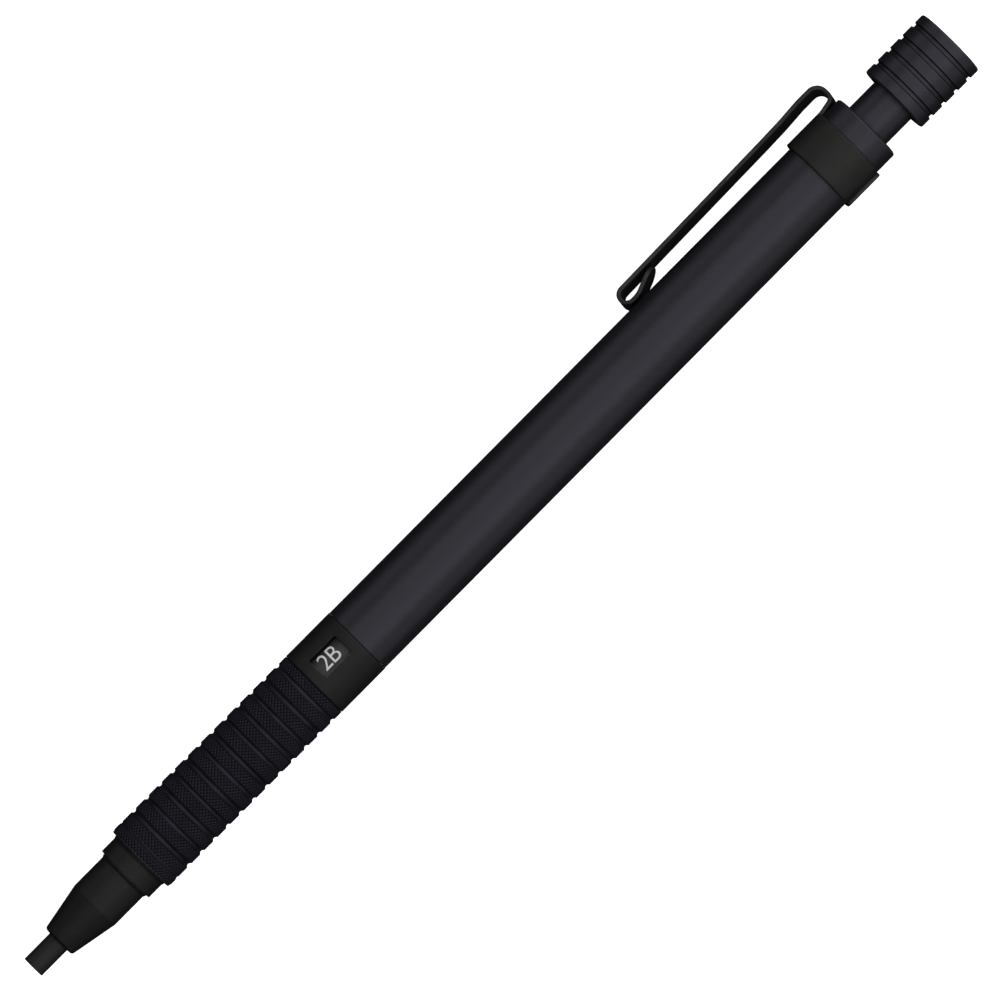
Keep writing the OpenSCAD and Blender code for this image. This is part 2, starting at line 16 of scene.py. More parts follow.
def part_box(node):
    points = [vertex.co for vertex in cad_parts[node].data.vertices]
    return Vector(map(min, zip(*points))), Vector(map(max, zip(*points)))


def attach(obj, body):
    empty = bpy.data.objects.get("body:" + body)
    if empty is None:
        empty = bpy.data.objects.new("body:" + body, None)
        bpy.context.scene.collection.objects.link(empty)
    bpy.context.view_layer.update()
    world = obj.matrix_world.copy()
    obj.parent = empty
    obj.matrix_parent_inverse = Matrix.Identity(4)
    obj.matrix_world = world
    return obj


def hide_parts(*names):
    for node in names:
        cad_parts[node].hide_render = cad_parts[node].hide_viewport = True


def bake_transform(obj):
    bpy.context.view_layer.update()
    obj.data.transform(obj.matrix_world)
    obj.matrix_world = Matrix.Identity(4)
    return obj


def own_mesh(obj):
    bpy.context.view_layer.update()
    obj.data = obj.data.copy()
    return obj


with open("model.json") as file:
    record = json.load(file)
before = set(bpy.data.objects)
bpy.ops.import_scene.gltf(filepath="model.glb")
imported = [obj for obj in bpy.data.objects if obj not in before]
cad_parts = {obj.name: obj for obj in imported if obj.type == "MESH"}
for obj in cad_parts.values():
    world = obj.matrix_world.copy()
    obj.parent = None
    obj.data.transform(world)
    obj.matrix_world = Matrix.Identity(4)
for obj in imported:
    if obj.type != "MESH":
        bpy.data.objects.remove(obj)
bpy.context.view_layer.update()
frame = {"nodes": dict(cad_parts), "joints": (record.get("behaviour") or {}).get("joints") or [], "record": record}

MM = 0.001

# ---------------- places, from the frame


def box_mm(node):
    """A CAD node's front and rear station and its radius across Z, in millimetres."""
    low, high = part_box(node)
    return (low.x - TIP_X) / MM, (high.x - TIP_X) / MM, (high.z - low.z) / 2 / MM


TIP_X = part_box("lead_sleeve")[0].x
AXIS = (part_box("knob")[0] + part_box("knob")[1]) / 2
AXIS.x = 0.0
JOINTS = {joint["name"]: joint for joint in frame["joints"]}
CLIP_JOINT = JOINTS["clip_flex"]
CLIP_DIRECTION = math.degrees(
    math.atan2(CLIP_JOINT["pos_m"][2] - AXIS.z, CLIP_JOINT["pos_m"][1] - AXIS.y))
WINDOW_DIRECTION = 67.0
PRINT_DIRECTION = WINDOW_DIRECTION - 2.1  # of the grade that shows at rest
FIT = 0.02  # between pieces that stay together, as in the frame
RUN = 0.03  # between pieces that slide or turn on each other, as in the frame
END_GAP = 0.05  # between the ends of pieces inside, as in the frame
CLOSER = 0.008  # how much of a seam each of two pieces that meet at it takes up
SEAM_EDGE = 0.05  # rounding of the edges at the seam between collar and barrel


def point(station, radius, direction):
    """A point of the row frame, in metres."""
    turn = math.radians(direction)
    return Vector((
        TIP_X + station * MM,
        AXIS.y + radius * MM * math.cos(turn),
        AXIS.z + radius * MM * math.sin(turn)))


# ---------------- materials


def node(tree, kind, inputs=None, **settings):
    """Adds a shader node; a socket among its inputs is linked, and anything else is set."""
    made = tree.nodes.new(kind)
    for key, value in settings.items():
        setattr(made, key, value)
    for key, value in (inputs or {}).items():
        if isinstance(value, bpy.types.NodeSocket):
            tree.links.new(value, made.inputs[key])
        else:
            made.inputs[key].default_value = value
    return made


def noise(tree, place, scale, detail, stretch=None):
    """A noise texture, stretched along an axis where stretch gives its three scales."""
    if stretch:
        place = node(tree, "ShaderNodeMapping", {"Vector": place, "Scale": stretch}).outputs[0]
    inputs = {"Vector": place, "Scale": scale, "Detail": detail, "Roughness": 0.6}
    return node(tree, "ShaderNodeTexNoise", inputs).outputs["Fac"]


def spread(tree, value, low, high, start=0.3, end=0.7):
    """Maps a noise value to a range."""
    inputs = {"Value": value, "From Min": start, "From Max": end, "To Min": low, "To Max": high}
    return node(tree, "ShaderNodeMapRange", inputs).outputs[0]


def scaled(colour, share):
    """A colour made darker or paler, with its alpha."""
    return tuple(c * share for c in colour) + (1.0,)


def mix(tree, kind, factor, first, second):
    """Mixes two colours or two numbers, sockets or values, by a factor."""
    sockets = {"RGBA": (6, 7, 2), "FLOAT": (2, 3, 0)}[kind]
    inputs = {0: factor, sockets[0]: first, sockets[1]: second}
    return node(tree, "ShaderNodeMix", inputs, data_type=kind).outputs[sockets[2]]


def maths(tree, operation, first, second):
    """A sum or product of two numbers, sockets or values."""
    inputs = {0: first, 1: second}
    return node(tree, "ShaderNodeMath", inputs, operation=operation).outputs[0]


BLOTCHES = 420.0  # scale of the noise, to a metre
TOOL_MARKS = (7000.0, 160.0, 160.0)  # likewise, along and across the pencil
RELIEF = 0.00002  # of the bump in every finish, in metres
POLISH = 0.12  # how much smoother a worn edge is


def surface(name, colour, roughness, metallic=0.0, specular=0.5, mottle=0.15, vary=0.06,
            grain=(4500.0, 0.5), turning=0.0, wear_and_sheen=0.0, worn=(0.10, 0.10, 0.105),
            shine=(1.0, 1.0, 1.0)):
    """A finish whose colour, roughness and relief vary: blotches a few millimetres wide, a fine grain,
    circumferential turning marks, and a paler, smoother tone where the mesh's wear_and_sheen attribute says so:
    worn edges, and on the grip a painted sheen in its grooves."""
    material = bpy.data.materials.new(name)
    material.use_nodes = True
    tree = material.node_tree
    tree.nodes.clear()
    place = node(tree, "ShaderNodeTexCoord").outputs["Object"]
    blotches = noise(tree, place, BLOTCHES, 5.0)
    fine = noise(tree, place, grain[0], 3.0)

    dark, pale = scaled(colour, 1 - mottle), scaled(colour, 1 + mottle)
    tint = mix(tree, "RGBA", spread(tree, blotches, 0.0, 1.0), dark, pale)
    rough = spread(tree, fine, roughness - vary, roughness + vary)
    # the paler, smoother mix: worn edges, and on the grip also the painted sheen of its grooves
    if wear_and_sheen:
        edge = node(tree, "ShaderNodeAttribute", attribute_name="wear_and_sheen").outputs["Fac"]
        patchy = spread(tree, blotches, 0.2, 1.0, 0.4, 0.6)
        rubbed_and_sheen = maths(tree, "MULTIPLY", maths(tree, "MULTIPLY", edge, patchy), wear_and_sheen)
        tint = mix(tree, "RGBA", rubbed_and_sheen, tint, scaled(worn, 1.0))
        rough = mix(tree, "FLOAT", rubbed_and_sheen, rough, max(roughness - POLISH, 0.1))

    relief = maths(tree, "MULTIPLY", fine, grain[1])
    if turning:
        lines = noise(tree, place, 1.0, 2.0, stretch=TOOL_MARKS)
        relief = maths(tree, "ADD", relief, maths(tree, "MULTIPLY", lines, turning))
    bump = node(tree, "ShaderNodeBump", {"Distance": RELIEF, "Height": relief})
    shader = node(tree, "ShaderNodeBsdfPrincipled", {
        "Base Color": tint, "Roughness": rough, "Normal": bump.outputs[0], "Metallic": metallic,
        "Specular IOR Level": specular, "Specular Tint": shine + (1.0,)})
    output = node(tree, "ShaderNodeOutputMaterial", {"Surface": shader.outputs[0]})
    output.is_active_output = True
    return material


FINISHES = {
    "painted_black": surface("satin_black_paint", (0.0075, 0.0075, 0.0075), 0.52, specular=0.30,
                             grain=(5200.0, 0.9), turning=0.25, wear_and_sheen=0.4),
    # the grip's worn tone is also the painted sheen of its grooves
    "grip_black": surface("knurled_black_anodise", (0.0045, 0.0042, 0.0066), 0.48, specular=0.34,
                          grain=(6500.0, 0.5), turning=0.2, wear_and_sheen=0.35, worn=(0.030, 0.028, 0.042),
                          shine=(0.80, 0.78, 1.0)),
    "barrel_black": surface("satin_black_anodise", (0.0075, 0.0072, 0.0100), 0.43, specular=0.60,
                            mottle=0.14, vary=0.05, grain=(4200.0, 0.35), turning=0.30, wear_and_sheen=0.2,
                            shine=(0.86, 0.84, 1.0)),
    "clip_black": surface("black_painted_spring_sheet", (0.0130, 0.0122, 0.0115), 0.50,
                          specular=0.30, grain=(5200.0, 0.6), wear_and_sheen=0.25),
    "sleeve_steel": surface("blackened_steel", (0.0095, 0.0095, 0.0098), 0.50, specular=0.34,
                            turning=0.5, wear_and_sheen=0.5, worn=(0.06, 0.06, 0.062)),
    "drum_grey": surface("brushed_grey_drum", (0.034, 0.032, 0.033), 0.36, metallic=0.25,
                         mottle=0.3, vary=0.1, grain=(5200.0, 0.8), turning=1.2),
    "spring_steel": surface("drawn_spring_wire", (0.50, 0.50, 0.52), 0.30, metallic=1.0,
                            mottle=0.12, grain=(8000.0, 0.3)),
    "brass_turned": surface("turned_brass", (0.66, 0.46, 0.19), 0.28, metallic=1.0,
                            mottle=0.12, turning=1.0, grain=(6000.0, 0.2)),
    "tube_metal": surface("drawn_aluminium", (0.55, 0.55, 0.56), 0.34, metallic=1.0,
                          mottle=0.08, turning=0.3, grain=(6000.0, 0.3)),
    "plastic_black": surface("moulded_black_plastic", (0.011, 0.011, 0.012), 0.48,
                             grain=(3500.0, 0.5)),
    "rubber_black": surface("moulded_black_rubber", (0.013, 0.013, 0.013), 0.72,
                            specular=0.3, grain=(3000.0, 0.8)),
    "graphite": surface("graphite_rod", (0.030, 0.030, 0.033), 0.40, metallic=0.3,
                        mottle=0.3, vary=0.12, grain=(5000.0, 1.2)),
    "eraser_white": surface("white_eraser", (0.80, 0.78, 0.74), 0.70, specular=0.3,
                            mottle=0.05, grain=(2500.0, 1.5)),
}
WHITE_PRINT = surface("white_print", (0.86, 0.86, 0.85), 0.50, mottle=0.04, grain=(6000.0, 0.8))
# near-black painted shade for walls that would lie in shadow
PAINTED_SHADE = surface("painted_shade_black", (0.0030, 0.0030, 0.0030), 0.85, specular=0.08)
# pale grey painted light for a wall that stands as if lit
PAINTED_LIGHT = surface("painted_light_grey", (0.100, 0.100, 0.106), 0.50, specular=0.3)
SLOT_OF_NODE = {part["node"]: part["material_slot"] for part in frame["record"]["subparts"]}

# ---------------- mesh helpers

SHARP = 32.0  # degrees, the least angle of an edge that stays sharp


def mesh_object(name, vertices, faces, wear_and_sheen=None, sharp=SHARP):
    """A mesh piece with outward normals, smooth but for edges sharper than the given angle."""
    mesh = bpy.data.meshes.new(name)
    mesh.from_pydata(vertices, [], faces)
    work = bmesh.new()
    work.from_mesh(mesh)
    bmesh.ops.recalc_face_normals(work, faces=work.faces)
    work.to_mesh(mesh)
    work.free()
    if wear_and_sheen:
        mesh.attributes.new("wear_and_sheen", "FLOAT", "POINT").data.foreach_set("value", wear_and_sheen)
    mesh.shade_smooth()
    mesh.set_sharp_from_angle(angle=math.radians(sharp))
    made = bpy.data.objects.new(name, mesh)
    bpy.context.scene.collection.objects.link(made)
    return made


def finished(piece, body, slot, material=None, replaces=()):
    """Gives a piece its material and tells the frame what it rides on and stands for."""
    piece.data.materials.append(material or FINISHES[slot])
    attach(piece, body)
    if replaces:
        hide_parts(*replaces)


def paint_shade_on_walls(piece, low, high, facing=0.75):
    """Gives the faces that look along the pencil between two stations a near-black painted shade, standing for the
    shadow in grooves, seams and steps.
    """
    if PAINTED_SHADE.name not in piece.data.materials:
        piece.data.materials.append(PAINTED_SHADE)
    for face in piece.data.polygons:
        station = (face.center.x - TIP_X) / MM
        if low < station < high and abs(face.normal.x) > facing:
            face.material_index = 1


WORN_FILLET = 0.3  # the largest rounding of an edge that shows wear
SUPPORT = 0.06  # from a corner to the ring that keeps a long face's shading flat
LONG_FACE = 0.4  # the shortest face that gets such rings
ARC_STEP = 9  # degrees, the widest step of a rounded corner
SIDE = 0.499  # the most of an outline's side that one rounding takes up
QUARTER = (30, 60, 90)  # degrees, the steps of a rim's rounding
SOFT = 0.15  # rounding of a plain turned edge


def supported(outline):
    """An outline of (x, y, wear) with a point close to each end of every long part of it."""
    made = [outline[0]]
    for a, b in zip(outline, outline[1:]):
        length = math.dist(a[:2], b[:2])
        if length > LONG_FACE:
            for share in (SUPPORT / length, 1 - SUPPORT / length):
                made.append((a[0] + (b[0] - a[0]) * share, a[1] + (b[1] - a[1]) * share, 0.0))
        made.append(b)
    return made


def rounded(outline, steps=4, support=True):
    """An outline of (x, y) or (x, y, fillet) points with its corners rounded. Each point comes
    back as (x, y, wear), with wear 1 inside a small fillet of a convex corner, 0 elsewhere."""
    count = len(outline)
    made = []
    for i, corner in enumerate(outline):
        fillet = corner[2] if len(corner) > 2 else 0
        here = Vector(corner[:2])
        if not fillet or i in (0, count - 1):
            made.append((here.x, here.y, 0.0))
            continue
        before = Vector(outline[i - 1][:2]) - here
        after = Vector(outline[i + 1][:2]) - here
        half = before.angle(after) / 2
        reach = min(fillet / math.tan(half), SIDE * before.length, SIDE * after.length)
        radius = reach * math.tan(half)
        centre = here + (before.normalized() + after.normalized()).normalized() * (
            radius / math.sin(half))
        first = here + before.normalized() * reach - centre
        last = here + after.normalized() * reach - centre
        sweep = first.angle_signed(last)
        parts = max(steps, int(abs(math.degrees(sweep)) / ARC_STEP))
        convex = 1.0 if sweep > 0 and fillet <= WORN_FILLET else 0.0
        for k in range(parts + 1):
            spoke = first.copy()
            spoke.rotate(Matrix.Rotation(-sweep * k / parts, 2))
            inside = convex if 0 < k < parts else 0.0
            made.append((centre.x + spoke.x, centre.y + spoke.y, inside))
    return supported(made) if support else made


def grid_faces(rows, columns, row_loop=False, column_loop=False):
    """Quads of a grid of vertices numbered row by row."""
    faces = []
    for i in range(rows if row_loop else rows - 1):
        for j in range(columns if column_loop else columns - 1):
            a, b = i * columns + j, i * columns + (j + 1) % columns
            c = (i + 1) % rows * columns
            faces.append((a, b, c + (j + 1) % columns, c + j))
    return faces


def bridge(loops):
    """Quads between closed loops of vertex numbers, each joined to the next."""
    return [(a[k], a[(k + 1) % len(a)], b[(k + 1) % len(a)], b[k])
            for a, b in zip(loops, loops[1:]) for k in range(len(a))]


SEGMENTS = 192  # round the axis
FEW_SEGMENTS = 128  # for small pieces


def turned(name, outline, segments=SEGMENTS):
    """A closed solid of revolution from an outline of (station, radius, wear). An outline that
    starts and ends on the axis gets a pole at each end; any other closes on itself."""
    solid = outline[0][1] == 0
    rings = outline[1:-1] if solid else outline
    vertices, wear_and_sheen = [], []
    for station, radius, worn in rings:
        for j in range(segments):
            vertices.append(point(station, radius, 360 * j / segments))
            wear_and_sheen.append(worn)
    faces = grid_faces(len(rings), segments, row_loop=not solid, column_loop=True)
    if solid:
        for station, first in ((outline[0][0], 0), (outline[-1][0], (len(rings) - 1) * segments)):
            pole = len(vertices)
            vertices.append(point(station, 0, 0))
            wear_and_sheen.append(0.0)
            faces += [(pole, first + j, first + (j + 1) % segments) for j in range(segments)]
    return mesh_object(name, vertices, faces, wear_and_sheen)


# ---------------- nose and sleeve

SHANK_RISE = 0.3  # how much thicker the sleeve is inside the nose
NOSE_LIP = 0.1  # of the nose over the shank's shoulder
SLEEVE_BORE_R = 1.05
MOUTH_DEPTH = 0.03  # of the bevel inside the sleeve's mouth
MOUTH_BEVEL = 0.10


def lead_sleeve():
    """The fixed pipe round the lead, with a rounded mouth and a shank inside the nose."""
    _, rear, shank_r = box_mm("lead_sleeve")
    shoulder = box_mm("nose_cone")[0] + NOSE_LIP
    outer_r = shank_r - SHANK_RISE
    outline = rounded([
        (MOUTH_DEPTH, SLEEVE_BORE_R), (0.0, SLEEVE_BORE_R + MOUTH_BEVEL, 0.06),
        (0.0, outer_r, 0.12), (shoulder, outer_r), (shoulder, shank_r), (rear, shank_r),
        (rear, SLEEVE_BORE_R),
    ])
    finished(turned("sleeve_pipe", outline, FEW_SEGMENTS), "nose", "sleeve_steel",
             replaces=["lead_sleeve"])


NOSE_TIP_R = 2.03
TAPER_L = 5.6
LAND_DROP = 0.14  # from the flared end to the straight part ahead of it
FLARE_L = 0.36
FLARE_EDGE = 0.12  # length of the flare's rim
RIM_RISE = 0.01  # how much the rim widens over that length
SPIGOT_L = 4.0
SPIGOT_R = 2.7
SPIGOT_BEVEL = 0.1  # length of the bevel at the spigot's rear end
SPIGOT_TAPER = 0.3  # how much thinner the spigot is there
RING_CLEAR = 0.05  # between the spigot and the chuck ring
STOP_L = 1.15  # ahead of the chuck ring, to where its bore narrows
THREAD_PITCH = 0.5
THREAD_DEPTH = 0.16
THREAD_START = 0.3  # from the nose's seam
THREAD_TURNS = 7
THREAD_STEPS = 8  # rows of vertices in a turn
CREST_SLOPE = 2.6  # of the thread's flanks
FADE_ROWS = 6  # over which the thread begins and ends


def nose_cone():
    """The nose: a taper, a straight part that flares at its end, and the screwed spigot."""
    front, rear, flare_r = box_mm("nose_cone")
    _, shank_end, shank_r = box_mm("lead_sleeve")
    _, retainer_rear, retainer_r = box_mm("lead_retainer")
    ring_front, _, ring_r = box_mm("chuck_ring")
    seam = rear - SPIGOT_L
    land_r, root_r = flare_r - LAND_DROP, SPIGOT_R - THREAD_DEPTH
    stop = ring_front - STOP_L
    lip_r, lip_rear = shank_r - SHANK_RISE + FIT, front + NOSE_LIP - FIT
    outline = rounded([
        (front, lip_r), (front, NOSE_TIP_R, 0.38), (front + TAPER_L, land_r, 0.5),
        (seam - FLARE_L, land_r, 0.2), (seam - FLARE_EDGE, flare_r - RIM_RISE, 0.1),
        (seam + CLOSER, flare_r), (seam + CLOSER, root_r),
    ])
    first_row = len(outline)
    outline += [(seam + THREAD_START + i * THREAD_PITCH / THREAD_STEPS, SPIGOT_R, 0.0)
                for i in range(THREAD_TURNS * THREAD_STEPS)]
    last_row = len(outline)
    outline += rounded([
        (rear - SPIGOT_BEVEL, root_r), (rear, SPIGOT_R - SPIGOT_TAPER),
        (rear, ring_r + RING_CLEAR), (stop, ring_r + RING_CLEAR),
        (stop, ring_r - RING_CLEAR), (retainer_rear, ring_r - RING_CLEAR),
        (retainer_rear, retainer_r + FIT), (shank_end + RUN, retainer_r + FIT),
        (shank_end + RUN, shank_r + FIT), (lip_rear, shank_r + FIT), (lip_rear, lip_r),
    ])
    piece = turned("nose_shell", outline)
    for i in range(first_row, last_row):
        for j in range(SEGMENTS):
            phase = (outline[i][0] / THREAD_PITCH + j / SEGMENTS) % 1
            crest = min(1.0, CREST_SLOPE * abs(phase - 0.5))
            fade = min(1.0, (i - first_row) / FADE_ROWS, (last_row - 1 - i) / FADE_ROWS)
            radius = SPIGOT_R - THREAD_DEPTH * (1 - crest * fade)
            piece.data.vertices[i * SEGMENTS + j].co = point(
                outline[i][0], radius, 360 * j / SEGMENTS)
    piece.data.update()
    piece.data.set_sharp_from_angle(angle=math.radians(SHARP))
    finished(piece, "nose", "painted_black", replaces=["nose_cone"])


CORE_R = 3.45  # of the front tube, inside the grip
CORE_BORE_R = 2.5
TAIL_R = 3.4  # of the front tube's end, inside the barrel
FLANGE_DROP = 0.1  # from the flange's flared end to its straight part
FLANGE_EDGE = 0.1  # length of its rim


def front_tube():
    """The collar ahead of the grip, and the core that the grip and the grade collar sit on."""
    front, rear, flare_r = box_mm("front_tube")
    back = box_mm("grip_sleeve")[0] - FIT
    collar_rear = box_mm("barrel")[0]
    seat_rear = box_mm("spring_seat")[1] + END_GAP
    flange_r, screw_r = flare_r - FLANGE_DROP, SPIGOT_R + RUN
    outline = rounded([
        (front - CLOSER, screw_r), (front - CLOSER, flange_r, 0.06),
        (back - FLARE_L, flange_r, 0.3), (back - FLANGE_EDGE, flare_r - RIM_RISE, 0.08),
        (back, flare_r, 0.03), (back, CORE_R), (collar_rear, CORE_R), (collar_rear, TAIL_R),
        (rear, TAIL_R, SOFT), (rear, CORE_BORE_R), (seat_rear, CORE_BORE_R),
        (seat_rear, screw_r),
    ])
    finished(turned("front_collar", outline), "barrel_group", "painted_black",
             replaces=["front_tube"])


# ---------------- knurled grip

DIAMONDS = 54  # knurl diamonds in a turn
KNURL_PITCH = 0.51  # length of a diamond along the pencil
KNURL_DEPTH = 0.10
KNURL_FLAT = 0.8  # share of a diamond's slope below its flattened point
CELLS = 4  # grid cells in a diamond, along and round
FRONT_BAND = (0.16, 1.35)  # where the band at the grip's front starts and ends
FRONT_ROWS = ((0.0, 0.20), (0.05, 0.11))  # its rounded end: (from the end, below its top)
SHOULDER = (0.10, 0.045, 0.01)  # how far the front band's end rows lie below its top
RING_DROP = 0.025  # from the front band's radius to that of the rings
STEP_L = 0.24  # of the smooth step behind the front band
STEP_EDGE = 0.05
STEP_DEPTH = 0.13
REAR_MARGIN = 0.07  # from the last ring to the grip's rear end
REAR_DROP = 0.15
GROOVES = 12
FIRST_GROOVE = 3.27  # from the grip's front end to the first groove's middle
GROOVE_PITCH = 2.012
GROOVE_TOP = 0.72  # width between the rings on either side
GROOVE_REACH = 0.46  # from its middle to its outermost rows, as a share of that width
GROOVE_RIM = 0.04  # how far those rows lie below the rings
GROOVE_DEPTH = 0.25
GROOVE_STEPS = 10
GROOVE_PAINTED_SHEEN = 0.97  # painted sheen of the grooves: how far they take the paler worn tone, next to the knurl's points
GRIP_SHARP = 24  # degrees, as SHARP


def knurl_height(u, v):
    """Height of the knurl, 0 to 1, at a place counted in half diamonds round and along."""
    a, b = (u + v) / 2, (u - v) / 2
    slope = min(1 - 2 * abs(a - round(a)), 1 - 2 * abs(b - round(b)))
    return min(1.0, slope / KNURL_FLAT)


def grip_rows():
    """Rows of the grip's outside: (station, radius, lattice row), lattice row None if smooth."""
    front, rear, band_r = box_mm("grip_sleeve")
    ring_r = band_r - RING_DROP
    band_start, band_end = (front + place for place in FRONT_BAND)
    bands = [(band_start, band_end, band_r)]
    start = band_end + STEP_L
    for i in range(GROOVES):
        centre = front + FIRST_GROOVE + i * GROOVE_PITCH
        bands.append((start, centre - GROOVE_TOP / 2, ring_r))
        start = centre + GROOVE_TOP / 2
    bands.append((start, rear - REAR_MARGIN, ring_r))
    rows = [(front + place, band_r - drop, None) for place, drop in FRONT_ROWS]
    lattice = 0
    for index, (low, high, radius) in enumerate(bands):
        cells = max(2, round((high - low) / (KNURL_PITCH / CELLS)))
        for k in range(cells + 1):
            from_end = min(k, cells - k)
            drop = SHOULDER[from_end] if index == 0 and from_end < len(SHOULDER) else 0.0
            rows.append((low + (high - low) * k / cells, radius - drop, lattice + k))
        lattice += cells + 1
        if index == 0:
            rows += [(high + place, radius - STEP_DEPTH, None)
                     for place in (STEP_EDGE, STEP_L - STEP_EDGE)]
        elif index <= GROOVES:
            for k in range(GROOVE_STEPS + 1):
                across = 2 * k / GROOVE_STEPS - 1
                depth = GROOVE_RIM + (GROOVE_DEPTH - GROOVE_RIM) * (1 - across ** 2)
                along = high + GROOVE_TOP * (0.5 + GROOVE_REACH * across)
                rows.append((along, ring_r - depth, None))
    return rows + [(rear, ring_r - REAR_DROP, None)]


def grip_sleeve():
    """The grip: a plain bore, and an outside of knurled bands parted by smooth grooves."""
    front, rear, _ = box_mm("grip_sleeve")
    bore_r = CORE_R + FIT
    columns = DIAMONDS * CELLS
    rows = grip_rows()
    vertices, wear_and_sheen = [], []
    for station, radius, lattice in rows:
        for j in range(columns):
            height = 1.0 if lattice is None else knurl_height(j / 2, lattice / 2)
            vertices.append(point(station, radius - KNURL_DEPTH * (1 - height), 360 * j / columns))
            # every smooth row, the grooves foremost, gets the painted sheen; the knurl's points get their wear
            wear_and_sheen.append(GROOVE_PAINTED_SHEEN if lattice is None else height ** 3)
    for station in (rear, front):
        vertices += [point(station, bore_r, 360 * j / columns) for j in range(columns)]
        wear_and_sheen += [0.0] * columns
    faces = []
    for a, b, c, d in grid_faces(len(rows) + 2, columns, row_loop=True, column_loop=True):
        i, j = divmod(a, columns)
        knurled = i + 1 < len(rows) and None not in (rows[i][2], rows[i + 1][2])
        if not knurled:
            faces.append((a, b, c, d))
        elif (j // 2 + rows[i][2] // 2) % 2:
            faces += [(a, b, c), (a, c, d)]
        else:
            faces += [(a, b, d), (b, c, d)]
    finished(mesh_object("knurled_grip", vertices, faces, wear_and_sheen, sharp=GRIP_SHARP),
             "barrel_group", "grip_black", replaces=["grip_sleeve"])


# ---------------- grade collar and its drum

WINDOW_MID = 3.36  # from the collar's front end
WINDOW_L = 3.95
WINDOW_W = 2.70
WINDOW_CORNER = 0.15
WINDOW_MARGIN = 0.42  # of the patch of mesh round the window
RIM = 0.06  # rounding of the window's rim
COLLAR_BORE_R = 3.75
PATCH_ROWS = 44  # grid cells of the patch, along and round
PATCH_COLUMNS = 32
AROUND = 132  # grid cells round the rest of the tube
PATCH_ENDS = 3  # grid cells from the patch to either end of the tube
DIM_CORNER = 2  # cells next to a corner that keep the painted shade on the wall that is painted light
WALL_SQUEEZE = 0.80  # the window's width at the bore, as a share of that outside
WALL_SHIFT = -0.06  # of the window's middle at the bore


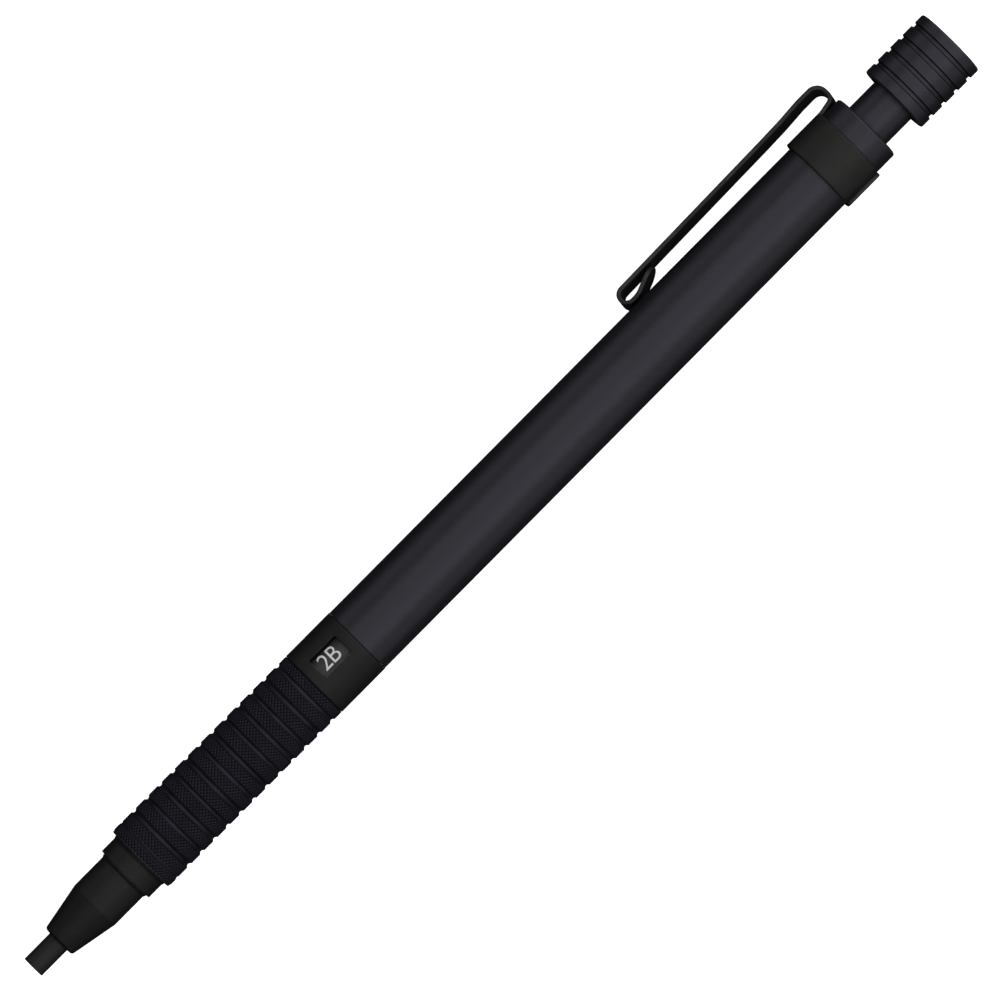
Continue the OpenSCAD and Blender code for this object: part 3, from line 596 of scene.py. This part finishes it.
def window_collar():
    """The turning collar: a tube whose outside and inside are grids in station and angle, with
    a patch of each left out for the window and filled by loops that round its rim."""
    front, rear, outer_r = box_mm("window_collar")
    front, rear = front - CLOSER, rear + CLOSER
    inner_r, edge = COLLAR_BORE_R, SEAM_EDGE
    mid = front + WINDOW_MID
    half_l = WINDOW_L / 2 + WINDOW_MARGIN
    half_turn = math.degrees(math.asin((WINDOW_W / 2 + WINDOW_MARGIN) / outer_r))
    ahead, behind = mid - half_l - front - edge, rear - edge - mid - half_l
    stations = [front + edge + ahead * k / PATCH_ENDS for k in range(PATCH_ENDS)]
    first_row = len(stations)
    stations += [mid - half_l + 2 * half_l * k / PATCH_ROWS for k in range(PATCH_ROWS + 1)]
    last_row = len(stations) - 1
    stations += [mid + half_l + behind * (k + 1) / PATCH_ENDS for k in range(PATCH_ENDS)]
    turns = [-half_turn + 2 * half_turn * k / PATCH_COLUMNS for k in range(PATCH_COLUMNS)]
    turns += [half_turn + (360 - 2 * half_turn) * k / AROUND for k in range(AROUND)]
    columns = len(turns)

    vertices, faces, wear_and_sheen = [], [], []

    def add(station, radius, turn, worn=0.0):
        vertices.append(point(station, radius, WINDOW_DIRECTION + turn))
        wear_and_sheen.append(worn)
        return len(vertices) - 1

    def skin(radius):
        """A grid over the tube, without the window's patch. Returns its vertices by row."""
        grid = [[add(s, radius, t) for t in turns] for s in stations]
        for i in range(len(stations) - 1):
            for j in range(columns):
                if first_row <= i < last_row and j < PATCH_COLUMNS:
                    continue
                k = (j + 1) % columns
                faces.append((grid[i][j], grid[i][k], grid[i + 1][k], grid[i + 1][j]))
        return grid

    # rows and columns of the patch's border, once round
    border = [(first_row, j) for j in range(PATCH_COLUMNS)]
    border += [(i, PATCH_COLUMNS) for i in range(first_row, last_row)]
    border += [(last_row, j) for j in range(PATCH_COLUMNS, 0, -1)]
    border += [(i, 0) for i in range(last_row, first_row, -1)]

    def hole(radius, offset, worn=0.0, squeeze=1.0, shift=0.0):
        """A loop of the window's outline, moved outwards by an offset, at a radius."""
        loop = []
        for i, j in border:
            x = stations[i] - mid
            y = outer_r * math.sin(math.radians(turns[j]))
            core_x = max(-WINDOW_L / 2 + WINDOW_CORNER, min(WINDOW_L / 2 - WINDOW_CORNER, x))
            core_y = max(-WINDOW_W / 2 + WINDOW_CORNER, min(WINDOW_W / 2 - WINDOW_CORNER, y))
            away = Vector((x - core_x, y - core_y)).normalized() * (WINDOW_CORNER + offset)
            turn = math.degrees(math.asin((squeeze * (core_y + away.y) + shift) / radius))
            loop.append(add(mid + core_x + away.x, radius, turn, worn))
        return loop

    outside, inside = skin(outer_r), skin(inner_r)
    loops = [[outside[i][j] for i, j in border], hole(outer_r, RIM)]
    for turn in QUARTER:
        sink = RIM * (1 - math.cos(math.radians(turn)))
        loops.append(hole(outer_r - sink, RIM * (1 - math.sin(math.radians(turn))),
                          0.0 if turn == 90 else 1.0))
    loops.append(hole(inner_r, 0.0, 0.0, WALL_SQUEEZE, WALL_SHIFT))
    loops.append([inside[i][j] for i, j in border])
    first_wall = len(faces) + (len(loops) - 3) * len(border)
    faces += bridge(loops)

    for end, row in ((front, 0), (rear, len(stations) - 1)):
        inward = edge if end == front else -edge
        ring = [outside[row]]
        for turn in QUARTER:
            x = end + inward * (1 - math.sin(math.radians(turn)))
            radius = outer_r - edge * (1 - math.cos(math.radians(turn)))
            ring.append([add(x, radius, t, 0.0 if turn == 90 else 1.0) for t in turns])
        ring.append([add(end, inner_r, t) for t in turns])
        ring.append(inside[row])
        faces += bridge(ring)
    piece = mesh_object("grade_collar_shell", vertices, faces, wear_and_sheen)
    finished(piece, "grade_collar", "painted_black", replaces=["window_collar"])
    # painted light and shade on the window's wall: one long side pale grey as if lit, the rest near black as if in
    # shadow
    piece.data.materials.append(PAINTED_SHADE)
    piece.data.materials.append(PAINTED_LIGHT)
    painted_lit_cells = range(PATCH_COLUMNS + DIM_CORNER, PATCH_COLUMNS + PATCH_ROWS - DIM_CORNER)
    for k in range(len(border)):
        piece.data.polygons[first_wall + k].material_index = 2 if k in painted_lit_cells else 1
    # painted shade in the seams at both ends of the collar
    paint_shade_on_walls(piece, front - FIT, front + edge, facing=0.1)
    paint_shade_on_walls(piece, rear - edge, rear + FIT, facing=0.1)


GRADES = ("2B", "B", "HB", "F", "H", "2H", "3H", "4H")
CAP_HEIGHT = 1.85
GRADE_WIDTH = 2.5  # of a grade with two characters
SINGLE_WIDTH = 0.46  # of a grade with one, as a share of that
LETTER_WEIGHT = -0.004  # how far the strokes are widened, next to a letter 1 high
LETTER_SPACING = 0.93
LETTER_EXTRUDE = 0.1
LETTER_SLICES = 12  # across the drum, so that the letters follow its curve
PRINT_SHIFT = -0.15  # of the print along the pencil, from the window's middle
INK = 0.012  # how far the print stands over the drum, and reaches into it


def printed_grades():
    """Eight lead grades printed round the drum: flat letters, sliced across and wrapped on it."""
    drum_r = box_mm("grade_drum")[2]
    mid = box_mm("window_collar")[0] + WINDOW_MID + PRINT_SHIFT
    vertices, faces = [], []
    for number, grade in enumerate(GRADES):
        curve = bpy.data.curves.new("grade", "FONT")
        curve.body = grade
        curve.extrude = LETTER_EXTRUDE
        curve.offset = LETTER_WEIGHT
        curve.space_character = LETTER_SPACING
        curve.resolution_u = 6
        text = bpy.data.objects.new("grade", curve)
        bpy.context.scene.collection.objects.link(text)
        bpy.context.view_layer.update()
        evaluated = text.evaluated_get(bpy.context.evaluated_depsgraph_get())
        flat = bpy.data.meshes.new_from_object(evaluated)
        bpy.data.objects.remove(text)
        work = bmesh.new()
        work.from_mesh(flat)
        bmesh.ops.remove_doubles(work, verts=work.verts, dist=1e-5)
        xs, ys = [v.co.x for v in work.verts], [v.co.y for v in work.verts]
        low_x, low_y, wide, tall = min(xs), min(ys), max(xs) - min(xs), max(ys) - min(ys)
        width = GRADE_WIDTH * (1.0 if len(grade) == 2 else SINGLE_WIDTH)
        for v in work.verts:
            v.co.x = ((v.co.x - low_x) / wide - 0.5) * width
            v.co.y = ((v.co.y - low_y) / tall - 0.5) * CAP_HEIGHT
            v.co.z = INK if v.co.z > 0 else -INK
        for k in range(1, LETTER_SLICES):
            bmesh.ops.bisect_plane(
                work, geom=work.verts[:] + work.edges[:] + work.faces[:],
                plane_co=(0, CAP_HEIGHT * (k / LETTER_SLICES - 0.5), 0), plane_no=(0, 1, 0))
        direction = PRINT_DIRECTION + 360 * number / len(GRADES)
        first = len(vertices)
        work.verts.index_update()
        for v in work.verts:
            turn = direction - math.degrees(v.co.y / drum_r)
            vertices.append(point(mid + v.co.x, drum_r + v.co.z, turn))
        faces += [tuple(first + v.index for v in face.verts) for face in work.faces]
        work.free()
    finished(mesh_object("printed_grades", vertices, faces),
             "barrel_group", "eraser_white", material=WHITE_PRINT)


# ---------------- barrel, neck and knob

BARREL_BORE_R = 3.1
BARREL_SEGMENTS = 224
BARREL_EDGE = 0.30  # rounding of the rear end
REAR_SWELL = 0.025  # how much fuller the barrel is behind the clip's band
SWELL_L = 0.05  # over which it gets fuller
SCREW_RUNOUT = 0.5  # between the front tube's end and the bore's shoulder


def barrel():
    """The plain barrel, a little fuller behind the clip's band and rounded at its rear end."""
    front, rear, rear_r = box_mm("barrel")
    front -= CLOSER
    bush_front, _, bush_r = box_mm("tail_bush")
    bush_seat, bush_seat_r = bush_front - END_GAP, bush_r + FIT
    screw_end, screw_r = box_mm("front_tube")[1] + SCREW_RUNOUT, TAIL_R + RUN
    barrel_r = rear_r - REAR_SWELL
    outline = rounded([
        (front, screw_r), (front, barrel_r, SEAM_EDGE), (BAND_REAR, barrel_r),
        (BAND_REAR + SWELL_L, rear_r), (rear, rear_r, BARREL_EDGE), (rear, bush_seat_r),
        (bush_seat, bush_seat_r), (bush_seat, BARREL_BORE_R), (screw_end, BARREL_BORE_R),
        (screw_end, screw_r),
    ], steps=6)
    piece = turned("barrel_tube", outline, BARREL_SEGMENTS)
    finished(piece, "barrel_group", "barrel_black", replaces=["barrel"])
    # painted shade in the seam with the grade collar
    paint_shade_on_walls(piece, front - FIT, front + SEAM_EDGE, facing=0.1)


def push_neck():
    """The thin tube between the barrel and the knob."""
    front, rear, neck_r = box_mm("push_neck")
    bore_r = box_mm("lead_tube")[2] + FIT
    outline = rounded([
        (front, bore_r), (front, neck_r, SOFT), (rear, neck_r, SOFT), (rear, bore_r),
    ])
    finished(turned("neck_tube", outline), "push_rod", "barrel_black", replaces=["push_neck"])


KNOB_EDGE = 0.25
KNOB_WALL = 1.0  # of the closed rear end
KNOB_GROOVES = 4
KNOB_FIRST_GROOVE = 1.6  # from the knob's front end
KNOB_GROOVE_PITCH = 1.93
KNOB_GROOVE_DEPTH = 0.26
KNOB_GROOVE_FILLET = 0.04
KNOB_GROOVE_RIM = 0.30  # from a groove's middle to its rim
KNOB_GROOVE_FLOOR = 0.19  # from a groove's middle to the end of its floor
KNOB_GROOVE_REACH = 0.32  # from a groove's middle to past its rim, the reach of the painted shade on its walls


def knob():
    """The knob: a cap with turned grooves, rounded edges and a bore for its liner."""
    front, rear, knob_r = box_mm("knob")
    bore_r = box_mm("knob_liner")[2] + FIT
    floor_r = knob_r - KNOB_GROOVE_DEPTH
    centres = [front + KNOB_FIRST_GROOVE + i * KNOB_GROOVE_PITCH for i in range(KNOB_GROOVES)]
    outline = [(front, bore_r), (front, knob_r, KNOB_EDGE)]
    for centre in centres:
        for place, radius in ((-KNOB_GROOVE_RIM, knob_r), (-KNOB_GROOVE_FLOOR, floor_r),
                              (KNOB_GROOVE_FLOOR, floor_r), (KNOB_GROOVE_RIM, knob_r)):
            outline.append((centre + place, radius, KNOB_GROOVE_FILLET))
    outline += [(rear, knob_r, KNOB_EDGE), (rear, 0.0)]
    bore = [(rear - KNOB_WALL, 0.0, 0.0), (rear - KNOB_WALL, bore_r, 0.0)]
    piece = turned("knob_cap", bore + rounded(outline))
    finished(piece, "cap", "barrel_black", replaces=["knob"])
    # painted shade: the groove walls are coloured near black where they would lie in shadow
    for centre in centres:
        paint_shade_on_walls(piece, centre - KNOB_GROOVE_REACH, centre + KNOB_GROOVE_REACH)


ERASER_DOME = 0.14  # how far its worn end is rounded off along the axis


def eraser():
    """The eraser under the knob: a short plug with a worn, slightly domed end."""
    front, rear, eraser_r = box_mm("eraser")
    outline = rounded([
        (front, 0.0), (front, eraser_r), (rear - ERASER_DOME, eraser_r, 0.6), (rear, 0.0),
    ])
    finished(turned("eraser_stub", outline, FEW_SEGMENTS), "eraser_plug", "eraser_white",
             replaces=["eraser"])


FERRULE_WALL = 0.28
FERRULE_FLOOR = 0.4
FERRULE_LIP = 0.4
CRIMPS = 3
CRIMP_PITCH = 0.8
CRIMP_DEPTH = 0.12
CRIMP_REACH = 0.22  # from a crimp's middle to its edge
LAST_CRIMP = 0.6  # ahead of the lip


def eraser_ferrule():
    """The cup that holds the eraser: a rolled lip over a thin wall with crimped rings."""
    front, rear, lip_r = box_mm("eraser_ferrule")
    cup_r = box_mm("lead_tube")[2]
    bore_r, lip_front = cup_r - FERRULE_WALL, rear - FERRULE_LIP
    outline = [(front, 0.0), (front, cup_r, SOFT)]
    for i in range(CRIMPS):
        middle = lip_front - LAST_CRIMP - (CRIMPS - 1 - i) * CRIMP_PITCH
        outline += [
            (middle - CRIMP_REACH, cup_r, 0.1), (middle, cup_r - CRIMP_DEPTH, 0.12),
            (middle + CRIMP_REACH, cup_r, 0.1),
        ]
    outline += [
        (lip_front, cup_r), (lip_front, lip_r, 0.1), (rear, lip_r, 0.18), (rear, bore_r, 0.08),
        (front + FERRULE_FLOOR, bore_r), (front + FERRULE_FLOOR, 0.0),
    ]
    finished(turned("ferrule_cup", rounded(outline), FEW_SEGMENTS), "eraser_plug", "tube_metal",
             replaces=["eraser_ferrule"])


WIRE_R = 0.175
SPRING_TURNS = 8
RINGS_PER_TURN = 40
WIRE_SIDES = 16
CLOSED_PITCH = 0.37  # of the first and the last turn, whose wire lies side by side


def return_spring():
    """The coil spring behind the chuck, with closed end turns."""
    front, rear, outer_r = box_mm("return_spring")
    coil_r = outer_r - WIRE_R
    first, last = front + WIRE_R, rear - WIRE_R
    open_pitch = (last - first - 2 * CLOSED_PITCH) / (SPRING_TURNS - 2)
    rings = SPRING_TURNS * RINGS_PER_TURN + 1
    vertices = []
    for i in range(rings):
        turns = i / RINGS_PER_TURN
        opened = min(max(turns - 1, 0), SPRING_TURNS - 2)
        station = first + opened * open_pitch + (turns - opened) * CLOSED_PITCH
        for j in range(WIRE_SIDES):
            side = 2 * math.pi * j / WIRE_SIDES
            vertices.append(point(
                station + WIRE_R * math.sin(side), coil_r + WIRE_R * math.cos(side), 360 * turns))
    faces = grid_faces(rings, WIRE_SIDES, column_loop=True)
    faces += [tuple(range(WIRE_SIDES)), tuple(range(len(vertices) - WIRE_SIDES, len(vertices)))]
    piece = mesh_object("return_coil", vertices, faces)
    finished(piece, "barrel_group", "spring_steel", replaces=["return_spring"])
    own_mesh(piece)


# ---------------- clip

SHEET = 0.5
CLIP_W = 3.3
LEG_RISE = 0.01  # of the leg's sheet over the band's
BAND_INSET = 2.7  # from the barrel's rear end
BAND_REAR = box_mm("barrel")[1] - BAND_INSET
BAND_FRONT = box_mm("clip_band")[0]
BAND_MID_R = box_mm("clip_band")[2] - SHEET / 2
BAND_GAP = 34.6  # degrees
BAND_CORNER = 0.6
EDGE = 0.11  # rounding of the sheet's edges
ARM_L = 29.7  # between the centres of the rear bend and the front loop
ARM_BOW = (  # (ahead of the rear bend, drop below its height, fillet)
    (1.8, 0.01, 4.0), (4.5, 0.2, 12.0), (7.5, 0.29, 12.0))
LOOP_TOP = 6.41  # height of the loop's upper sheet over the axis
LOOP_LOW = 4.575  # height of its lower sheet
LEG_START = 0.6  # from the band's edge to where the strip stands at the leg's height
LIFT = 0.85  # from the loop's centre to where the tongue turns up
LIFT_R = 2.75
TONGUE_RISE = 22.5  # degrees
TONGUE_L = 3.65
PATH_STEP = 0.6  # the longest part of the path between two rows of vertices
TONGUE_ROUND = 1.4  # length of the tongue's rounded end
TAIL_SHARE = 0.68  # from one row to the next towards that end
TAIL_END = 0.02


def clip_path():
    """The middle of the clip's sheet from the band's rear edge to the tongue's end, as points
    (station, height over the axis) and the distance of each along the sheet."""
    bend = (CLIP_JOINT["pos_m"][0] - TIP_X) / MM
    centre_h = math.hypot(CLIP_JOINT["pos_m"][1] - AXIS.y, CLIP_JOINT["pos_m"][2] - AXIS.z) / MM
    leg_h = BAND_MID_R + LEG_RISE
    bend_r = centre_h - leg_h
    arm_h = centre_h + bend_r
    loop = bend - ARM_L
    loop_r = (LOOP_TOP - LOOP_LOW) / 2
    lift, rise = loop + LIFT, math.radians(TONGUE_RISE)
    outline = [
        (BAND_REAR, BAND_MID_R), (BAND_REAR + LEG_START, leg_h),
        (bend + bend_r, leg_h, bend_r), (bend + bend_r, arm_h, bend_r),
        *((bend - ahead, arm_h - drop, fillet) for ahead, drop, fillet in ARM_BOW),
        (loop - loop_r, LOOP_TOP, loop_r), (loop - loop_r, LOOP_LOW, loop_r),
        (lift, LOOP_LOW, LIFT_R),
        (lift + TONGUE_L * math.cos(rise), LOOP_LOW + TONGUE_L * math.sin(rise)),
    ]
    path = [Vector(p[:2]) for p in rounded(outline, steps=5, support=False)]
    dense = [path[0]]
    for a, b in zip(path, path[1:]):
        parts = max(1, math.ceil((b - a).length / PATH_STEP))
        dense += [a.lerp(b, k / parts) for k in range(1, parts + 1)]
    end = TONGUE_ROUND - EDGE
    tail = []
    while end > TAIL_END:
        tail.append(end)
        end *= TAIL_SHARE
    total = sum((b - a).length for a, b in zip(dense, dense[1:]))
    travelled, made = 0.0, [(dense[0], 0.0)]
    for a, b in zip(dense, dense[1:]):
        step = (b - a).length
        stops = [s for s in tail if travelled < total - s < travelled + step - 1e-6]
        made += [(a.lerp(b, (total - s - travelled) / step), total - s) for s in stops]
        travelled += step
        made.append((b, travelled))
    return made, total


STRIP_SHARE = (-1.0, -0.86, -0.6, -0.3, 0.0, 0.3, 0.6, 0.86, 1.0)  # columns of the strip
ROOT_FLARE = 0.30  # how much wider the strip is, on each side, where it leaves the band
ROOT_L = 0.7  # over which it narrows
STRIP_START = 0.06  # from the band's edge to the strip's first row
CURL_L = 1.8  # over which the strip loses the band's curve
TONGUE_END_W = 0.12  # half width of the tongue's last row
BAND_ROWS = 15
BAND_COLUMNS = 44  # on each side of the strip


def clip_sheet_grid():
    """The sheet's middle surface: the open band, and the strip that leaves its rear edge."""
    half_band = 180 - BAND_GAP / 2 - math.degrees(EDGE / BAND_MID_R)
    root = CLIP_W / 2 + ROOT_FLARE - EDGE
    strip_turn = [math.degrees(share * root / BAND_MID_R) for share in STRIP_SHARE]
    corner = BAND_CORNER - EDGE
    corner_steps = [math.radians(a) for a in range(0, 91, 18)]
    ends = [math.degrees(corner * (1 - math.cos(a)) / BAND_MID_R) for a in corner_steps]
    near, far = strip_turn[-1], half_band - ends[-1]
    side = [near + (far - near) * k / BAND_COLUMNS for k in range(1, BAND_COLUMNS)]
    side += [half_band - e for e in reversed(ends)]
    turns = [-t for t in reversed(side)] + strip_turn + side

    vertices, faces = [], []
    for turn in turns:
        from_end = min(math.radians(half_band - abs(turn)) * BAND_MID_R, corner)
        cut = corner - math.sqrt(max(corner ** 2 - (corner - from_end) ** 2, 0.0))
        low, high = BAND_FRONT + EDGE + cut, BAND_REAR - EDGE - cut
        for i in range(BAND_ROWS):
            vertices.append(point(low + (high - low) * i / (BAND_ROWS - 1), BAND_MID_R,
                                  CLIP_DIRECTION + turn))
    faces += grid_faces(len(turns), BAND_ROWS)

    path, total = clip_path()
    previous = [(len(side) + j + 1) * BAND_ROWS - 1 for j in range(len(STRIP_SHARE))]
    for middle, travelled in path:
        if travelled < STRIP_START:
            continue
        from_end = total - EDGE - travelled
        if from_end < 0:
            break
        narrow = CLIP_W / 2 - EDGE
        flare = ROOT_FLARE * max(0.0, 1 - travelled / ROOT_L) ** 2
        if from_end < narrow:
            narrow = max(math.sqrt(narrow ** 2 - (narrow - from_end) ** 2), TONGUE_END_W)
        curl = 1 - min(1.0, travelled / CURL_L)
        curl = curl * curl * (3 - 2 * curl)
        row = []
        for share in STRIP_SHARE:
            lateral = share * (narrow + flare)
            sag = BAND_MID_R - math.sqrt(BAND_MID_R ** 2 - lateral ** 2)
            height = middle.y - sag * curl
            row.append(len(vertices))
            vertices.append(clip_point(middle.x, height, lateral))
        for j in range(len(row) - 1):
            faces.append((previous[j], previous[j + 1], row[j + 1], row[j]))
        previous = row
    return vertices, faces


def clip_point(station, height, lateral):
    """A point over the clip's plane: a height over the axis and a distance across the clip."""
    turn = math.radians(CLIP_DIRECTION)
    across = Vector((0, -math.sin(turn), math.cos(turn)))
    return point(station, height, CLIP_DIRECTION) + across * lateral * MM


SHEET_SHARP = 40  # degrees, as SHARP


def thick_sheet(name, vertices, faces):
    """The clip's sheet round its middle surface, with rounded edges. The surface ends one edge
    radius inside the sheet's own outline."""
    middle = bmesh.new()
    for v in vertices:
        middle.verts.new(v)
    middle.verts.ensure_lookup_table()
    for f in faces:
        middle.faces.new([middle.verts[i] for i in f])
    bmesh.ops.recalc_face_normals(middle, faces=middle.faces)
    middle.normal_update()
    half, edge = SHEET * MM / 2, EDGE * MM
    count = len(middle.verts)
    made = [v.co + v.normal * half for v in middle.verts]
    made += [v.co - v.normal * half for v in middle.verts]
    quads = [tuple(v.index for v in f.verts) for f in middle.faces]
    quads += [tuple(count + v.index for v in reversed(f.verts)) for f in middle.faces]
    wear_and_sheen = [0.0] * (2 * count)

    loop = [next(e.link_loops[0] for e in middle.edges if e.is_boundary)]
    while True:
        ahead = loop[-1].link_loop_next
        while not ahead.edge.is_boundary:
            ahead = ahead.link_loop_radial_next.link_loop_next
        if ahead is loop[0]:
            break
        loop.append(ahead)
    rim = [l.vert for l in loop]
    rings = [[v.index for v in rim]]
    flat = half - edge
    arc = [(turn, flat) for turn in (60, 30, 0)] + [(turn, -flat) for turn in (0, -30, -60)]
    for turn, side in arc:
        rings.append([])
        for k, v in enumerate(rim):
            ahead, behind = rim[(k + 1) % len(rim)], rim[k - 1]
            along = (ahead.co - v.co).normalized() + (v.co - behind.co).normalized()
            out = along.cross(v.normal).normalized()
            rise = side + edge * math.sin(math.radians(turn))
            rings[-1].append(len(made))
            made.append(v.co + out * edge * math.cos(math.radians(turn)) + v.normal * rise)
            wear_and_sheen.append(1.0)
    rings.append([count + v.index for v in rim])
    quads += bridge(rings)
    middle.free()
    return mesh_object(name, made, quads, wear_and_sheen, sharp=SHEET_SHARP)


def clip():
    """The clip is one strip of sheet, so one mesh, made where it lies at rest."""
    vertices, faces = clip_sheet_grid()
    piece = thick_sheet("pocket_clip", vertices, faces)
    piece.data.materials.append(FINISHES["clip_black"])
    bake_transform(piece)
    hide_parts("clip_band", "clip_arm")
    # painted shade along the band's front edge, where it faces away from the light
    paint_shade_on_walls(piece, BAND_FRONT - EDGE, BAND_FRONT + EDGE, facing=0.3)


# ---------------- floor, light and camera


FLOOR_HALF = 2.5  # half its side, in metres
FLOOR_DROP = 0.0002  # under the pencil, in metres


def floor():
    """A plain pale floor that the pencil lies on."""
    half, z = FLOOR_HALF, -FLOOR_DROP
    mesh = bpy.data.meshes.new("floor")
    mesh.from_pydata([(-half, -half, z), (half, -half, z), (half, half, z), (-half, half, z)],
                     [], [(0, 1, 2, 3)])
    material = bpy.data.materials.new("pale_floor")
    material.use_nodes = True
    shader = material.node_tree.nodes["Principled BSDF"]
    for socket, value in (("Base Color", (0.82, 0.82, 0.82, 1)), ("Roughness", 0.9),
                          ("Specular IOR Level", 0.0), ("Emission Color", (1, 1, 1, 1)),
                          ("Emission Strength", 1.0)):
        shader.inputs[socket].default_value = value
    mesh.materials.append(material)
    made = bpy.data.objects.new("floor", mesh)
    made.visible_glossy = False
    made.visible_diffuse = False
    bpy.context.scene.collection.objects.link(made)


def soft_light(name, direction, along, distance, size, power):
    """A rectangular area light that looks at the pencil's middle from a direction round its
    axis, and from further along it towards the knob."""
    data = bpy.data.lights.new(name, "AREA")
    data.shape = "RECTANGLE"
    data.size, data.size_y = size
    data.energy = power
    made = bpy.data.objects.new(name, data)
    turn = math.radians(direction)
    spot = Vector((along, math.cos(turn), math.sin(turn))).normalized()
    made.location = AXIS + spot * distance
    made.rotation_euler = (-spot).to_track_quat("-Z", "Y").to_euler()
    bpy.context.scene.collection.objects.link(made)


def lights():
    """A very large soft light over the pencil, and four smaller ones that shape its sides."""
    soft_light("key", VIEW_DIRECTION + 6, 0.45, 0.9, (1.9, 2.6), 11)
    soft_light("upper", VIEW_DIRECTION + 26, 0.3, 1.2, (1.4, 0.45), 1.5)
    soft_light("lower", VIEW_DIRECTION - 20, 0.3, 1.2, (1.4, 0.45), 0.8)
    soft_light("far_side", VIEW_DIRECTION + 78, 0.2, 1.2, (1.4, 0.8), 1.8)
    soft_light("clip_side", VIEW_DIRECTION - 72, 0.2, 1.2, (1.4, 0.8), 2.2)
    world = bpy.data.worlds.new("studio")
    world.use_nodes = True
    background = world.node_tree.nodes["Background"]
    background.inputs["Color"].default_value = (1, 1, 1, 1)
    background.inputs["Strength"].default_value = 0.025
    bpy.context.scene.world = world


VIEW_DIRECTION = CLIP_DIRECTION + 105.85  # of the camera, round the pencil's axis
VIEW_TURN = 45.232  # degrees, of the pencil in the picture
CAMERA_DISTANCE = 1.44  # from the axis, in metres
CAMERA_STATION = 49.0
AIM_STATION = 71.94
AIM_ASIDE = 0.508  # from the axis, towards the clip
LENS = 480.6


def camera():
    """The photograph's view: nearly square to the pencil, which runs up to the right."""
    turn = math.radians(VIEW_DIRECTION)
    towards = Vector((0, math.cos(turn), math.sin(turn)))
    aside = Vector((0, math.sin(turn), -math.cos(turn)))
    place = point(CAMERA_STATION, 0, 0) + towards * CAMERA_DISTANCE
    target = point(AIM_STATION, 0, 0) + aside * AIM_ASIDE * MM
    back = (place - target).normalized()
    along = (Vector((1, 0, 0)) - back * back.x).normalized()
    across = back.cross(along)
    roll = math.radians(VIEW_TURN)
    right = along * math.cos(roll) - across * math.sin(roll)
    up = along * math.sin(roll) + across * math.cos(roll)
    data = bpy.data.cameras.new("camera")
    data.lens = LENS
    data.sensor_width = 36.0
    data.clip_start, data.clip_end = 0.05, 20.0
    made = bpy.data.objects.new("camera", data)
    made.matrix_world = Matrix.Translation(place) @ Matrix((right, up, back)).transposed().to_4x4()
    bpy.context.scene.collection.objects.link(made)
    bpy.context.scene.camera = made


# ---------------- the scene

camera()
lights()
floor()
bpy.context.scene.view_settings.view_transform = "Standard"

for name, cad in frame["nodes"].items():
    cad.data.materials.clear()
    cad.data.materials.append(FINISHES[SLOT_OF_NODE[name]])

lead_sleeve()
nose_cone()
front_tube()
grip_sleeve()
window_collar()
printed_grades()
barrel()
push_neck()
knob()
eraser()
eraser_ferrule()
return_spring()
clip()
